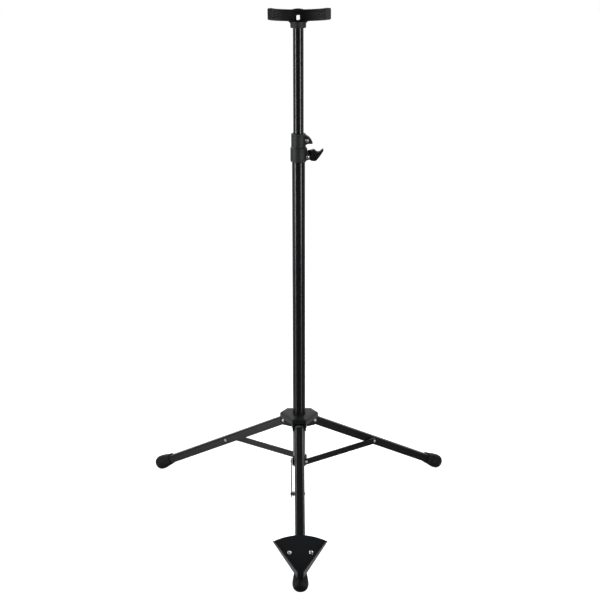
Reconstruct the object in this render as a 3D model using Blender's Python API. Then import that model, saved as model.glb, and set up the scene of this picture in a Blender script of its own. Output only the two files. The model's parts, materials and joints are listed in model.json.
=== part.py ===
"""Folding floor stand for a tall wind instrument such as a bassoon or a bass clarinet.

A black telescopic mast stands on a tripod of three channel legs.  A crescent yoke on top holds
the instrument's upper part, and a sector-shaped tray on the front leg carries its lower end.

World frame: metres, +Z up, origin on the floor in the middle of the footprint's bounding box.
The mast stands behind it, at MAST_Y, and the front leg points to -Y.
Each leg and each brace is modelled in its own frame, with the origin on its pivot, +X along
the bar and +Z across its height, and is placed by an empty that sits on the pivot.
"""

import math

import bmesh
import bpy
from mathutils import Matrix, Vector

# ---------------------------------------------------------------- driving dimensions (metres)

GAP = 0.0003  # clearance between neighbouring pieces

# Mast
MAST_Y = 0.08595  # the mast's axis, measured from the middle of the footprint
LOWER_TUBE_RADIUS = 0.0125
UPPER_TUBE_RADIUS = 0.0099
TUBE_WALL = 0.0012
LOWER_TUBE_BOTTOM = 0.0900
LOWER_TUBE_TOP = 0.7355
UPPER_TUBE_BOTTOM = 0.4900
UPPER_TUBE_TOP = 0.9656

# Tripod
LEG_DIRECTIONS = {"front": -90.0, "right": 30.0, "left": 150.0}  # degrees about +Z
LEG_SLOPE = math.radians(28.09)  # below the horizontal, legs open
HUB_PIVOT_REACH = 0.0290  # from the mast axis to a leg's pivot
LEG_WIDTH = 0.0186
LEG_HEIGHT = 0.0162
LEG_WALL = 0.0015
LEG_LENGTH = 0.3520  # from the pivot to the end inside the boot
LEG_WEB_START = 0.0090  # the web is cut back here, so that the leg can swing under the hub
BRACE_REACH = 0.1620  # along the leg, from its pivot to the brace's rivet
BRACE_OFFSET = 0.0154  # sideways, from the leg's middle to the brace's middle
BRACE_WIDTH = 0.0126
BRACE_THICKNESS = 0.0022
COLLAR_PIVOT_REACH = 0.0070
COLLAR_PIVOT_HEIGHT = 0.0970

# Hub
HUB_END_REACH = 0.0370
HUB_ARM_WIDTH = 0.0270
HUB_CROWN = 0.0187  # these four heights are above the leg pivots
HUB_RIM = 0.0145
HUB_PLATE_BOTTOM = 0.0062
HUB_SKIRT_BOTTOM = -0.0095
HUB_SLOT_TOP = 0.0085
HUB_SLOT_START = 0.0203
HUB_SLEEVE_RADIUS = 0.0165
HUB_EDGE_ROUND = 0.0150  # how far the crown's rounded edge reaches in from the rim
HUB_RIVET_RADIUS = 0.0025
HUB_LOCK_RISE = 0.0010  # the thumb screw's axis, above the leg pivots
HUB_LOCK_HOLE_RADIUS = 0.0033
HUB_LOCK_BOSS_RADIUS = 0.0075
HUB_LOCK_BOSS_END = 0.0265  # behind the mast axis
HUB_LOCK_STUD_RADIUS = 0.0030
HUB_LOCK_STUD_LENGTH = 0.0270
HUB_LOCK_KNOB_START = 0.0335  # behind the mast axis
HUB_LOCK_KNOB_RADIUS = 0.0125
HUB_LOCK_KNOB_HEIGHT = 0.0100
RIVET_RADIUS = 0.0020
RIVET_HEAD_RADIUS = 0.0031
RIVET_HEAD_HEIGHT = 0.0015

# Lower collar
COLLAR_RADIUS = 0.0156
COLLAR_FLAT = 0.0140  # from the mast axis to each of its three flats
COLLAR_BOTTOM = 0.0868
COLLAR_TOP = 0.1072

# Boots
BOOT_BULB_RADIUS = 0.0148
BOOT_BULB_REACH = 0.3566  # along the leg, to the bulb's middle
BOOT_MOUTH_REACH = 0.3270
BOOT_NECK_HALF_WIDTH = 0.0114
BOOT_NECK_HALF_HEIGHT = 0.0104
BOOT_END_POWER = 2.5  # how squarely the bulb's end is rounded: 2 is a half sphere
SOLE_CUT = 0.0006  # how much of the bulb's underside is flat

# The soles stand on z = 0, which sets the height of the leg pivots when the legs are open.
HUB_PIVOT_HEIGHT = BOOT_BULB_RADIUS - SOLE_CUT + BOOT_BULB_REACH * math.sin(LEG_SLOPE)

# Instrument tray: a 60 degree sector
TRAY_RADIUS = 0.0985
TRAY_HALF_ANGLE = math.radians(30.3)
TRAY_TIP_REACH = 0.3648  # along the leg, to the sector's point
TRAY_TIP_CUT = 0.0092  # the sector's point is cut off here
TRAY_FLOOR_BOTTOM = 0.0151
TRAY_FLOOR_THICKNESS = 0.0020
TRAY_WALL = 0.0022
TRAY_WALL_LOW = 0.0060
TRAY_WALL_HIGH = 0.0165
TRAY_SCREW_REACH = 0.3037
TRAY_SCREW_SPREAD = 0.0196
TRAY_RECESS_RADIUS = 0.0044  # the shallow recess that each screw head sits in
TRAY_RECESS_DEPTH = 0.0006
TRAY_PIN_REACH = 0.2900
TRAY_SEAT_LOW = (0.2840, -0.0240)  # the flat top of the mount, under the tray: (along, across)
TRAY_SEAT_HIGH = (0.3120, 0.0240)
TRAY_SADDLE_START = 0.2650  # the mount's saddle, which straddles the leg
TRAY_SADDLE_END = 0.3200
TRAY_SADDLE_WALL = 0.0024
TRAY_SADDLE_BOTTOM = -0.0050

# Height clutch
CLAMP_BOTTOM = 0.7098
CLAMP_STEP = 0.7374
CLAMP_TOP = 0.7632
CLAMP_LOWER_RADIUS = 0.0154
CLAMP_UPPER_RADIUS = 0.0138
HORN_HALF_THICKNESS = 0.0065
HORN_SCREW = Vector((0.0159, 0.0, 0.7508))
LEVER_PIVOT = Vector((0.0169, 0.0, 0.7198))
LEVER_HALF_THICKNESS = 0.0040
LEVER_GRIP_HALF_THICKNESS = 0.0070
EAR_HALF_THICKNESS = 0.0072
NUT_HEIGHT = 0.0028

# Yoke
YOKE_OUTER_RADIUS = 0.0586
YOKE_INNER_RADIUS = 0.0526
YOKE_PAD_THICKNESS = 0.0028
YOKE_HALF_ANGLE = math.radians(76.0)
YOKE_BACK = 0.0040  # the band's outer face at its middle, behind the mast axis
YOKE_BAND_BOTTOM = 0.9684
YOKE_BAND_TOP = 0.9893
YOKE_TILT = math.radians(8.0)
YOKE_TURN = math.radians(2.6)  # the yoke is shown turned a little on the mast
YOKE_SOCKET_BOTTOM = 0.9566
YOKE_SOCKET_RADIUS = 0.0146
YOKE_SLOT_WIDTH = 0.0068
YOKE_SLOT_BOTTOM = 0.9702
YOKE_SLOT_TOP = 0.9796
YOKE_SCREW_HEIGHT = 0.9632
YOKE_LIP_ANGLE = math.radians(3.2)  # how much of the band each end lip covers

MAST_AXIS = "mast_axis"  # the empty that every other piece hangs from
ROUND = 40  # segments of a large round piece
SMALL_ROUND = 18  # segments of a rivet or screw


# ---------------------------------------------------------------- modelling helpers


def clear_scene():
    for obj in list(bpy.data.objects):
        bpy.data.objects.remove(obj, do_unlink=True)


def make_material(name, colour, roughness, metallic=0.0):
    material = bpy.data.materials.new(name)
    material.use_nodes = True
    shader = material.node_tree.nodes["Principled BSDF"]
    shader.inputs["Base Color"].default_value = (*colour, 1.0)
    shader.inputs["Roughness"].default_value = roughness
    shader.inputs["Metallic"].default_value = metallic
    return material


def add_object(name, shape, material, parent=None, origin=None):
    """Puts a bmesh in the scene as one object; `origin` is the point its own axes sit on."""
    bmesh.ops.recalc_face_normals(shape, faces=shape.faces)
    if origin is not None:
        bmesh.ops.translate(shape, verts=shape.verts, vec=-Vector(origin))
    mesh = bpy.data.meshes.new(name)
    shape.to_mesh(mesh)
    shape.free()
    mesh.shade_smooth()
    mesh.set_sharp_from_angle(angle=math.radians(35.0))
    mesh.materials.append(material)
    return add_copy(name, mesh, parent, origin)


def add_copy(name, mesh, parent=None, origin=None):
    obj = bpy.data.objects.new(name, mesh)
    bpy.context.scene.collection.objects.link(obj)
    obj.parent = parent or bpy.data.objects[MAST_AXIS]
    if origin is not None:
        obj.location = origin
    return obj


def add_empty(name, location, rotation=(0.0, 0.0, 0.0), parent=None):
    empty = bpy.data.objects.new(name, None)
    empty.empty_display_size = 0.02
    empty.location = location
    empty.rotation_euler = rotation
    if name != MAST_AXIS:
        empty.parent = parent or bpy.data.objects[MAST_AXIS]
    bpy.context.scene.collection.objects.link(empty)
    return empty


def turned(profile, segments=ROUND):
    """A closed (radius, height) outline turned about Z.  A point at radius 0 sits on the axis."""
    shape = bmesh.new()
    rings = []
    for radius, height in profile:
        if radius < 1e-9:
            rings.append([shape.verts.new((0.0, 0.0, height))] * segments)
            continue
        ring = []
        for step in range(segments):
            angle = math.tau * step / segments
            point = (radius * math.cos(angle), radius * math.sin(angle), height)
            ring.append(shape.verts.new(point))
        rings.append(ring)
    for ring, following in zip(rings, rings[1:] + rings[:1]):
        for step in range(segments):
            after = (step + 1) % segments
            corners = [ring[step], ring[after], following[after], following[step]]
            corners = list(dict.fromkeys(corners))
            if len(corners) > 2:
                shape.faces.new(corners)
    return shape


def tube(inner, outer, bottom, top, segments=ROUND):
    return turned([(inner, bottom), (outer, bottom), (outer, top), (inner, top)], segments)


def cylinder(radius, bottom, top, segments=SMALL_ROUND):
    return turned([(0.0, bottom), (radius, bottom), (radius, top), (0.0, top)], segments)


def prism(outline, low, high):
    """An (x, y) outline extruded along Z from low to high."""
    shape = bmesh.new()
    floor = [shape.verts.new((x, y, low)) for x, y in outline]
    roof = [shape.verts.new((x, y, high)) for x, y in outline]
    shape.faces.new(reversed(floor))
    shape.faces.new(roof)
    count = len(outline)
    for step in range(count):
        after = (step + 1) % count
        shape.faces.new((floor[step], floor[after], roof[after], roof[step]))
    bmesh.ops.recalc_face_normals(shape, faces=shape.faces)
    return shape


def upright_prism(outline, low, high):
    """An (x, z) outline extruded along Y from low to high."""
    shape = prism(outline, -high, -low)
    turn = Matrix.Rotation(math.radians(90.0), 4, "X")
    bmesh.ops.transform(shape, matrix=turn, verts=shape.verts)
    return shape


def block(low, high):
    outline = [(low[0], low[1]), (high[0], low[1]), (high[0], high[1]), (low[0], high[1])]
    return prism(outline, low[2], high[2])


def moved(shape, matrix):
    bmesh.ops.transform(shape, matrix=matrix, verts=shape.verts)
    return shape


def along_y(shape, x=0.0, z=0.0):
    """Turns a shape made about Z so that its axis runs along Y through (x, z)."""
    turn = Matrix.Rotation(math.radians(-90.0), 4, "X")
    return moved(shape, Matrix.Translation((x, 0.0, z)) @ turn)


def arc(centre, radius, start, end, steps):
    """Points on an arc, with angles in degrees."""
    points = []
    for step in range(steps + 1):
        angle = math.radians(start + (end - start) * step / steps)
        points.append((centre[0] + radius * math.cos(angle), centre[1] + radius * math.sin(angle)))
    return points


def rounded(corners, radius, steps=3):
    """A convex outline, listed counter-clockwise, with each corner rounded."""
    points = []
    count = len(corners)
    for index in range(count):
        corner = Vector(corners[index])
        before = (Vector(corners[index - 1]) - corner).normalized()
        after = (Vector(corners[(index + 1) % count]) - corner).normalized()
        half = before.angle(after) / 2.0
        centre = corner + (before + after).normalized() * radius / math.sin(half)
        first = corner + before * radius / math.tan(half) - centre
        last = corner + after * radius / math.tan(half) - centre
        start = math.degrees(math.atan2(first.y, first.x))
        turn = math.degrees(first.angle_signed(last))
        points += arc(centre, radius, start, start - turn, steps)
    return points


def combined(base, tool, operation):
    """The Boolean of two shapes, as a new bmesh."""
    objects = []
    for name, shape in (("combined_base", base), ("combined_tool", tool)):
        bmesh.ops.recalc_face_normals(shape, faces=shape.faces)
        mesh = bpy.data.meshes.new(name)
        shape.to_mesh(mesh)
        shape.free()
        obj = bpy.data.objects.new(name, mesh)
        bpy.context.scene.collection.objects.link(obj)
        objects.append(obj)
    target, cutter = objects
    modifier = target.modifiers.new("Boolean", "BOOLEAN")
    modifier.operation = operation
    modifier.solver = "EXACT"
    modifier.object = cutter
    graph = bpy.context.evaluated_depsgraph_get()
    mesh = bpy.data.meshes.new_from_object(target.evaluated_get(graph))
    result = bmesh.new()
    result.from_mesh(mesh)
    bmesh.ops.remove_doubles(result, verts=result.verts, dist=1e-6)
    bmesh.ops.dissolve_degenerate(result, dist=1e-6, edges=result.edges)
    for obj in objects:
        spent = obj.data
        bpy.data.objects.remove(obj, do_unlink=True)
        bpy.data.meshes.remove(spent)
    bpy.data.meshes.remove(mesh)
    return result


def cut(base, *tools):
    for tool in tools:
        base = combined(base, tool, "DIFFERENCE")
    return base


def joined(base, *tools):
    for tool in tools:
        base = combined(base, tool, "UNION")
    return base


def rivet(shank, head, low, high, segments=SMALL_ROUND):
    """A rivet along Z: domed heads below `low` and above `high`, with the shank between."""
    dome = [(head, 0.0), (head * 0.86, 0.55), (head * 0.5, 0.9), (0.0, 1.0)]
    profile = [(0.0, low - RIVET_HEAD_HEIGHT)]
    profile += [(radius, low - RIVET_HEAD_HEIGHT * part) for radius, part in reversed(dome[:-1])]
    profile += [(shank, low), (shank, high)]
    profile += [(radius, high + RIVET_HEAD_HEIGHT * part) for radius, part in dome]
    return turned(profile, segments)


def screw(shank, head, head_height, length, segments=SMALL_ROUND):
    """A pan-head screw along Z: the head stands on z = 0 and the shank hangs below it."""
    return turned(
        [
            (0.0, -length),
            (shank, -length),
            (shank, 0.0),
            (head, 0.0),
            (head, head_height * 0.45),
            (head * 0.8, head_height * 0.9),
            (0.0, head_height),
        ],
        segments,
    )


def cross_recess(width, depth, top):
    """A cross-shaped cutter for a screw head whose top is at `top`."""
    arm = width * 0.16
    reach = width * 0.5
    outline = [(arm, arm), (arm, reach), (-arm, reach), (-arm, arm), (-reach, arm)]
    outline += [(-x, -y) for x, y in outline]
    return prism(outline, top - depth, top + depth)


# ---------------------------------------------------------------- mast


def add_mast(steel, plastic, dark_plastic):
    inner = LOWER_TUBE_RADIUS - TUBE_WALL
    shape = tube(inner, LOWER_TUBE_RADIUS, LOWER_TUBE_BOTTOM, LOWER_TUBE_TOP)
    add_object("lower_tube", shape, steel)

    plug = inner - GAP
    cap = turned(
        [
            (0.0, COLLAR_BOTTOM),
            (LOWER_TUBE_RADIUS - 0.001, COLLAR_BOTTOM),
            (LOWER_TUBE_RADIUS, COLLAR_BOTTOM + 0.001),
            (LOWER_TUBE_RADIUS, LOWER_TUBE_BOTTOM - GAP),
            (plug, LOWER_TUBE_BOTTOM - GAP),
            (plug, LOWER_TUBE_BOTTOM + 0.012),
            (0.0, LOWER_TUBE_BOTTOM + 0.012),
        ],
        ROUND,
    )
    add_object("tube_end_cap", cap, plastic)

    bush_outer = inner - GAP
    bush_inner = UPPER_TUBE_RADIUS + GAP
    shape = tube(bush_inner, bush_outer, LOWER_TUBE_TOP - 0.032, LOWER_TUBE_TOP)
    add_object("mast_top_bush", shape, dark_plastic)


def add_upper_mast(steel, dark_plastic):
    top_inner = UPPER_TUBE_RADIUS - TUBE_WALL
    shape = tube(top_inner, UPPER_TUBE_RADIUS, UPPER_TUBE_BOTTOM, UPPER_TUBE_TOP)
    origin = (0.0, 0.0, UPPER_TUBE_BOTTOM)
    add_object("upper_tube", shape, steel, origin=origin)

    outer = LOWER_TUBE_RADIUS - TUBE_WALL - GAP
    foot = UPPER_TUBE_BOTTOM - GAP
    plug = top_inner - GAP
    bush = turned(
        [
            (0.0, foot - 0.016),
            (outer - 0.001, foot - 0.016),
            (outer, foot - 0.015),
            (outer, foot),
            (plug, foot),
            (plug, foot + 0.014),
            (0.0, foot + 0.014),
        ],
        ROUND,
    )
    add_object("guide_bush", bush, dark_plastic, origin=origin)


# ---------------------------------------------------------------- height clutch


def horn_outline():
    """The fixed horn above the lever, in (x, z): convex above, hollow below, ending in a point."""
    top = [(0.0085, 0.7620), (0.0138, 0.7606), (0.0188, 0.7575), (0.0236, 0.7523), (0.0266, 0.7456)]
    hollow = [(0.0256, 0.7441), (0.0215, 0.7443), (0.0170, 0.7439), (0.0140, 0.7422), (0.0085, 0.7405)]
    return list(reversed(top + hollow))


def ear_outline():
    """The clutch ears that carry the lever's pivot, in (x, z)."""
    pivot = (LEVER_PIVOT.x, LEVER_PIVOT.z)
    nose = arc(pivot, 0.0060, -60.0, 62.0, 6)
    return [(0.0085, 0.7105)] + nose + [(0.0168, 0.7300), (0.0162, 0.7352), (0.0085, 0.7366)]


def lever_outline():
    """The lever's side view, in (x, z): a heel round the pivot and a hollow for the finger."""
    pivot = (LEVER_PIVOT.x, LEVER_PIVOT.z)
    heel = arc(pivot, 0.0042, 115.0, 255.0, 7)
    underside = [(0.0240, 0.7122), (0.0310, 0.7117), (0.0334, 0.7126), (0.0388, 0.7190), (0.0430, 0.7250)]
    tip = [(0.0463, 0.7303), (0.0470, 0.7322), (0.0463, 0.7339), (0.0446, 0.7337)]
    hollow = [(0.0426, 0.7316), (0.0404, 0.7297), (0.0376, 0.7286), (0.0348, 0.7289), (0.0320, 0.7308)]
    top = [(0.0301, 0.7328), (0.0288, 0.7333), (0.0240, 0.7322), (0.0180, 0.7316)]
    return heel + underside + tip + hollow + top


def add_clutch(plastic, lever_plastic, bright_steel):
    lower_bore = LOWER_TUBE_RADIUS + GAP
    upper_bore = UPPER_TUBE_RADIUS + GAP
    chamfer = 0.0012
    shoulder = LOWER_TUBE_TOP + GAP
    body = turned(
        [
            (lower_bore, CLAMP_BOTTOM),
            (CLAMP_LOWER_RADIUS - chamfer, CLAMP_BOTTOM),
            (CLAMP_LOWER_RADIUS, CLAMP_BOTTOM + chamfer * 1.6),
            (CLAMP_LOWER_RADIUS, CLAMP_STEP - chamfer),
            (CLAMP_UPPER_RADIUS, CLAMP_STEP + chamfer),
            (CLAMP_UPPER_RADIUS, CLAMP_TOP - 0.0008),
            (CLAMP_UPPER_RADIUS - 0.0008, CLAMP_TOP),
            (upper_bore, CLAMP_TOP),
            (upper_bore, shoulder),
            (lower_bore, shoulder),
        ],
        ROUND,
    )
    horn = upright_prism(horn_outline(), -HORN_HALF_THICKNESS, HORN_HALF_THICKNESS)
    ears = upright_prism(ear_outline(), -EAR_HALF_THICKNESS, EAR_HALF_THICKNESS)
    lever_gap = LEVER_HALF_THICKNESS + GAP
    gap_low = (LEVER_PIVOT.x - 0.0062, -lever_gap, CLAMP_BOTTOM - 0.002)
    gap_high = (0.040, lever_gap, CLAMP_STEP - 0.0010)
    bore = cylinder(upper_bore, CLAMP_BOTTOM - 0.01, CLAMP_TOP + 0.01, ROUND)
    wide_bore = cylinder(lower_bore, CLAMP_BOTTOM - 0.01, shoulder, ROUND)
    pivot_hole = along_y(cylinder(0.0023, -0.02, 0.02), LEVER_PIVOT.x, LEVER_PIVOT.z)
    horn_hole = along_y(cylinder(0.0023, -0.02, 0.02), HORN_SCREW.x, HORN_SCREW.z)
    # The upper sleeve is split between the horn's two halves, so that it can close on the tube.
    split = block((0.0085, -0.0008, CLAMP_STEP + 0.0024), (0.040, 0.0008, CLAMP_TOP + 0.01))
    body = joined(body, horn, ears)
    body = cut(body, bore, wide_bore, block(gap_low, gap_high), pivot_hole, horn_hole, split)
    add_object("clutch_body", body, plastic)

    # The grip is wider than the heel, which fits between the ears.
    lever = upright_prism(lever_outline(), -LEVER_GRIP_HALF_THICKNESS, LEVER_GRIP_HALF_THICKNESS)
    grip_start = LEVER_PIVOT.x + 0.0066
    for low, high in ((-0.02, -LEVER_HALF_THICKNESS), (LEVER_HALF_THICKNESS, 0.02)):
        lever = cut(lever, block((0.0, low, 0.70), (grip_start, high, 0.75)))
    hole = along_y(cylinder(0.0023, -0.02, 0.02), LEVER_PIVOT.x, LEVER_PIVOT.z)
    add_object("clutch_lever", cut(lever, hole), lever_plastic, origin=LEVER_PIVOT)

    for name, place, half in (
        ("lever_pivot_screw", LEVER_PIVOT, EAR_HALF_THICKNESS),
        ("horn_screw", HORN_SCREW, HORN_HALF_THICKNESS),
    ):
        bolt = screw(0.0020, 0.0035, 0.0022, 2.0 * half + GAP + 0.0034)
        bolt = cut(bolt, cross_recess(0.0050, 0.0012, 0.0022))
        facing = Matrix.Rotation(math.radians(90.0), 4, "X")
        front = Matrix.Translation(place - Vector((0.0, half + GAP, 0.0)))
        add_object(name, moved(bolt, front @ facing), bright_steel, origin=place)
        nut = cut(cylinder(0.0035, 0.0, NUT_HEIGHT, 6), cylinder(0.0023, -0.01, 0.01))
        back = Matrix.Translation(place + Vector((0.0, half + GAP + NUT_HEIGHT, 0.0)))
        add_object(name.replace("screw", "nut"), moved(nut, back @ facing), bright_steel, origin=place)


# ---------------------------------------------------------------- yoke


def band(outer, inner, half_angle, bottom, top, steps, corner):
    """A crescent band, open to the front, with its ends' corners cut back."""
    centre_y = YOKE_BACK - YOKE_OUTER_RADIUS
    shape = bmesh.new()
    sections = []
    for step in range(steps + 1):
        angle = -half_angle + 2.0 * half_angle * step / steps
        inset = corner if step in (0, steps) else 0.0
        section = []
        low, high = bottom + inset, top - inset
        for radius, height in ((inner, low), (outer, low), (outer, high), (inner, high)):
            point = (radius * math.sin(angle), centre_y + radius * math.cos(angle), height)
            section.append(shape.verts.new(point))
        sections.append(section)
    for section, following in zip(sections, sections[1:]):
        for side in range(4):
            after = (side + 1) % 4
            shape.faces.new((section[side], section[after], following[after], following[side]))
    shape.faces.new(sections[0])
    shape.faces.new(reversed(sections[-1]))
    bmesh.ops.recalc_face_normals(shape, faces=shape.faces)
    return shape


def yoke_tilt():
    """The band leans so that its arms rise to the front, to suit a leaning instrument."""
    middle = Vector((0.0, 0.0, (YOKE_BAND_BOTTOM + YOKE_BAND_TOP) / 2.0))
    return Matrix.Translation(middle) @ Matrix.Rotation(-YOKE_TILT, 4, "X") @ Matrix.Translation(-middle)


def add_yoke(plastic, rubber, bright_steel):
    holder = add_empty("yoke_turn", (0.0, 0.0, 0.0), (0.0, 0.0, YOKE_TURN))
    bottom, top = YOKE_BAND_BOTTOM, YOKE_BAND_TOP
    crescent = band(YOKE_OUTER_RADIUS, YOKE_INNER_RADIUS, YOKE_HALF_ANGLE, bottom, top, 28, 0.0015)
    lip_inner = YOKE_INNER_RADIUS - YOKE_PAD_THICKNESS - 0.0006
    shape = moved(crescent, yoke_tilt())
    for side in (-1.0, 1.0):
        centre_y = YOKE_BACK - YOKE_OUTER_RADIUS
        corners = []
        for angle in (YOKE_HALF_ANGLE - YOKE_LIP_ANGLE, YOKE_HALF_ANGLE):
            for radius in (lip_inner, YOKE_OUTER_RADIUS - 0.001):
                across = side * radius * math.sin(angle)
                corners.append((across, centre_y + radius * math.cos(angle)))
        outline = [corners[0], corners[1], corners[3], corners[2]]
        lip = prism(outline, bottom + 0.0008, top - 0.0008)
        shape = joined(shape, moved(lip, yoke_tilt()))

    socket = turned(
        [
            (0.0, YOKE_SOCKET_BOTTOM),
            (YOKE_SOCKET_RADIUS - 0.0009, YOKE_SOCKET_BOTTOM),
            (YOKE_SOCKET_RADIUS, YOKE_SOCKET_BOTTOM + 0.0009),
            (YOKE_SOCKET_RADIUS, YOKE_BAND_BOTTOM - 0.0004),
            (0.0, YOKE_BAND_BOTTOM - 0.0004),
        ],
        ROUND,
    )
    # The web between socket and band, seen from the front, narrows downwards in two hollows.
    left = arc((-0.0205, 0.9625), 0.0060, 78.0, 0.0, 5)
    outline = left + [(-x, z) for x, z in reversed(left)]
    web = upright_prism([(0.0200, 0.9730)] + [(-0.0200, 0.9730)] + outline, -0.0005, 0.0060)
    crown_top = arc((0.0, 0.9573), 0.0334, 68.6, 111.4, 8)
    crown = [(0.0122, bottom)] + crown_top + [(-0.0122, bottom)]
    back = upright_prism(crown, 0.0005, 0.0115)
    shape = joined(shape, socket, web, back)

    bore = cylinder(UPPER_TUBE_RADIUS + GAP, YOKE_SOCKET_BOTTOM - 0.01, UPPER_TUBE_TOP + GAP, ROUND)
    half = YOKE_SLOT_WIDTH / 2.0
    low, high = YOKE_SLOT_BOTTOM, YOKE_SLOT_TOP
    slot_outline = rounded([(-half, low), (half, low), (half, high), (-half, high)], 0.0016)
    slot = upright_prism(slot_outline, -0.03, 0.03)
    hole = along_y(cylinder(0.0018, 0.0, 0.03), 0.0, YOKE_SCREW_HEIGHT)
    origin = (0.0, 0.0, YOKE_SOCKET_BOTTOM)
    add_object("yoke", cut(shape, bore, slot, hole), plastic, holder, origin)

    pad_outer = YOKE_INNER_RADIUS - GAP
    pad_angle = YOKE_HALF_ANGLE - YOKE_LIP_ANGLE - 0.008
    inner = pad_outer - YOKE_PAD_THICKNESS
    pad = band(pad_outer, inner, pad_angle, bottom + 0.0008, top - 0.0008, 26, 0.0008)
    pad = moved(pad, yoke_tilt())
    slot = upright_prism(slot_outline, -0.03, 0.03)
    add_object("yoke_pad", cut(pad, slot), rubber, holder, origin)

    fixing = screw(0.0015, 0.0029, 0.0018, 0.0036)
    fixing = cut(fixing, cross_recess(0.0040, 0.0010, 0.0018))
    turn = Matrix.Rotation(math.radians(-90.0), 4, "X")
    place = Vector((0.0, YOKE_SOCKET_RADIUS + GAP, YOKE_SCREW_HEIGHT))
    add_object("yoke_screw", moved(fixing, Matrix.Translation(place) @ turn), bright_steel, holder, place)


# ---------------------------------------------------------------- hub and collar


def directed(shape, degrees):
    return moved(shape, Matrix.Rotation(math.radians(degrees), 4, "Z"))


def hub_outline(inset=0.0, corner=0.0025):
    """A triangle with its corners cut square, where each short side faces a leg."""
    slant = math.radians(60.0)
    long_side = HUB_END_REACH * math.cos(slant) + HUB_ARM_WIDTH / 2.0 * math.sin(slant)
    reach = HUB_END_REACH - inset
    half = (long_side - inset - reach * math.cos(slant)) / math.sin(slant)
    corners = []
    for degrees in sorted(LEG_DIRECTIONS.values()):
        for side in (-1.0, 1.0):
            point = Matrix.Rotation(math.radians(degrees), 4, "Z") @ Vector((reach, side * half, 0.0))
            corners.append((point.x, point.y))
    return rounded(corners, corner)


def hub_plate():
    """The hub's crowned top: a flat-sided rim under a broadly rounded edge."""
    pivot = HUB_PIVOT_HEIGHT
    levels = [(0.0, HUB_PLATE_BOTTOM), (0.0, HUB_RIM)]
    for degrees in (15.0, 30.0, 45.0, 60.0, 75.0, 90.0):
        angle = math.radians(degrees)
        rise = (HUB_CROWN - HUB_RIM) * math.sin(angle)
        levels.append((HUB_EDGE_ROUND * (1.0 - math.cos(angle)), HUB_RIM + rise))
    shape = bmesh.new()
    rings = []
    for inset, height in levels:
        outline = hub_outline(inset)
        rings.append([shape.verts.new((x, y, pivot + height)) for x, y in outline])
    for ring, following in zip(rings, rings[1:]):
        for step in range(len(ring)):
            after = (step + 1) % len(ring)
            shape.faces.new((ring[step], ring[after], following[after], following[step]))
    shape.faces.new(rings[0])
    shape.faces.new(rings[-1])
    bmesh.ops.recalc_face_normals(shape, faces=shape.faces)
    return shape


def add_hub(plastic, bright_steel, knob_plastic):
    pivot = HUB_PIVOT_HEIGHT
    half = HUB_ARM_WIDTH / 2.0
    sleeve = cylinder(HUB_SLEEVE_RADIUS, pivot + HUB_SKIRT_BOTTOM, pivot + HUB_PLATE_BOTTOM + 0.002, ROUND)
    shape = joined(hub_plate(), sleeve)
    for degrees in LEG_DIRECTIONS.values():
        low = pivot + HUB_SKIRT_BOTTOM
        top = pivot + HUB_PLATE_BOTTOM + 0.002
        nose = arc((HUB_END_REACH - 0.009, low + 0.009), 0.009, -90.0, 0.0, 6)
        outline = [(0.0, low)] + nose + [(HUB_END_REACH, top), (0.0, top)]
        shape = joined(shape, directed(upright_prism(outline, -half, half), degrees))
    for degrees in LEG_DIRECTIONS.values():
        slot_half = LEG_WIDTH / 2.0 + GAP
        low = (HUB_SLOT_START, -slot_half, pivot - 0.02)
        high = (HUB_END_REACH + 0.02, slot_half, pivot + HUB_SLOT_TOP)
        hole = along_y(cylinder(HUB_RIVET_RADIUS + GAP, -0.02, 0.02), HUB_PIVOT_REACH, pivot)
        shape = cut(shape, directed(block(low, high), degrees), directed(hole, degrees))
    bore = cylinder(LOWER_TUBE_RADIUS + GAP, pivot - 0.03, pivot + 0.03, ROUND)
    axis_height = pivot + HUB_LOCK_RISE
    lock_hole = along_y(cylinder(HUB_LOCK_HOLE_RADIUS, 0.0, 0.06), 0.0, axis_height)
    boss = cylinder(HUB_LOCK_BOSS_RADIUS, LOWER_TUBE_RADIUS + 0.002, HUB_LOCK_BOSS_END)
    lock_boss = along_y(boss, 0.0, axis_height)
    shape = joined(shape, lock_boss)
    add_object("hub", cut(shape, bore, lock_hole), plastic, origin=(0.0, 0.0, pivot))

    span = half + GAP
    mesh = None
    for name, degrees in LEG_DIRECTIONS.items():
        holder = add_empty(f"hub_pivot_{name}", *leg_frame(degrees, sloped=False))
        if mesh is None:
            shape = along_y(rivet(HUB_RIVET_RADIUS, RIVET_HEAD_RADIUS + 0.0004, -span, span))
            mesh = add_object(f"hub_rivet_{name}", shape, bright_steel, holder).data
        else:
            add_copy(f"hub_rivet_{name}", mesh, holder)

    # Thumb screw behind the mast: it holds the hub at the height that spreads the legs.
    turn = Matrix.Rotation(math.radians(-90.0), 4, "X")
    place = Vector((0.0, LOWER_TUBE_RADIUS + 0.0004, axis_height))
    stud = cylinder(HUB_LOCK_STUD_RADIUS, 0.0, HUB_LOCK_STUD_LENGTH)
    stud = moved(stud, Matrix.Translation(place) @ turn)
    add_object("hub_lock_stud", stud, bright_steel, origin=place)
    knob = knob_shape(HUB_LOCK_KNOB_RADIUS, HUB_LOCK_KNOB_HEIGHT)
    knob = cut(knob, cylinder(HUB_LOCK_HOLE_RADIUS, -0.001, 0.0072))
    knob_place = Vector((0.0, HUB_LOCK_KNOB_START, axis_height))
    knob = moved(knob, Matrix.Translation(knob_place) @ turn)
    add_object("hub_lock_knob", knob, knob_plastic, origin=knob_place)


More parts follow.
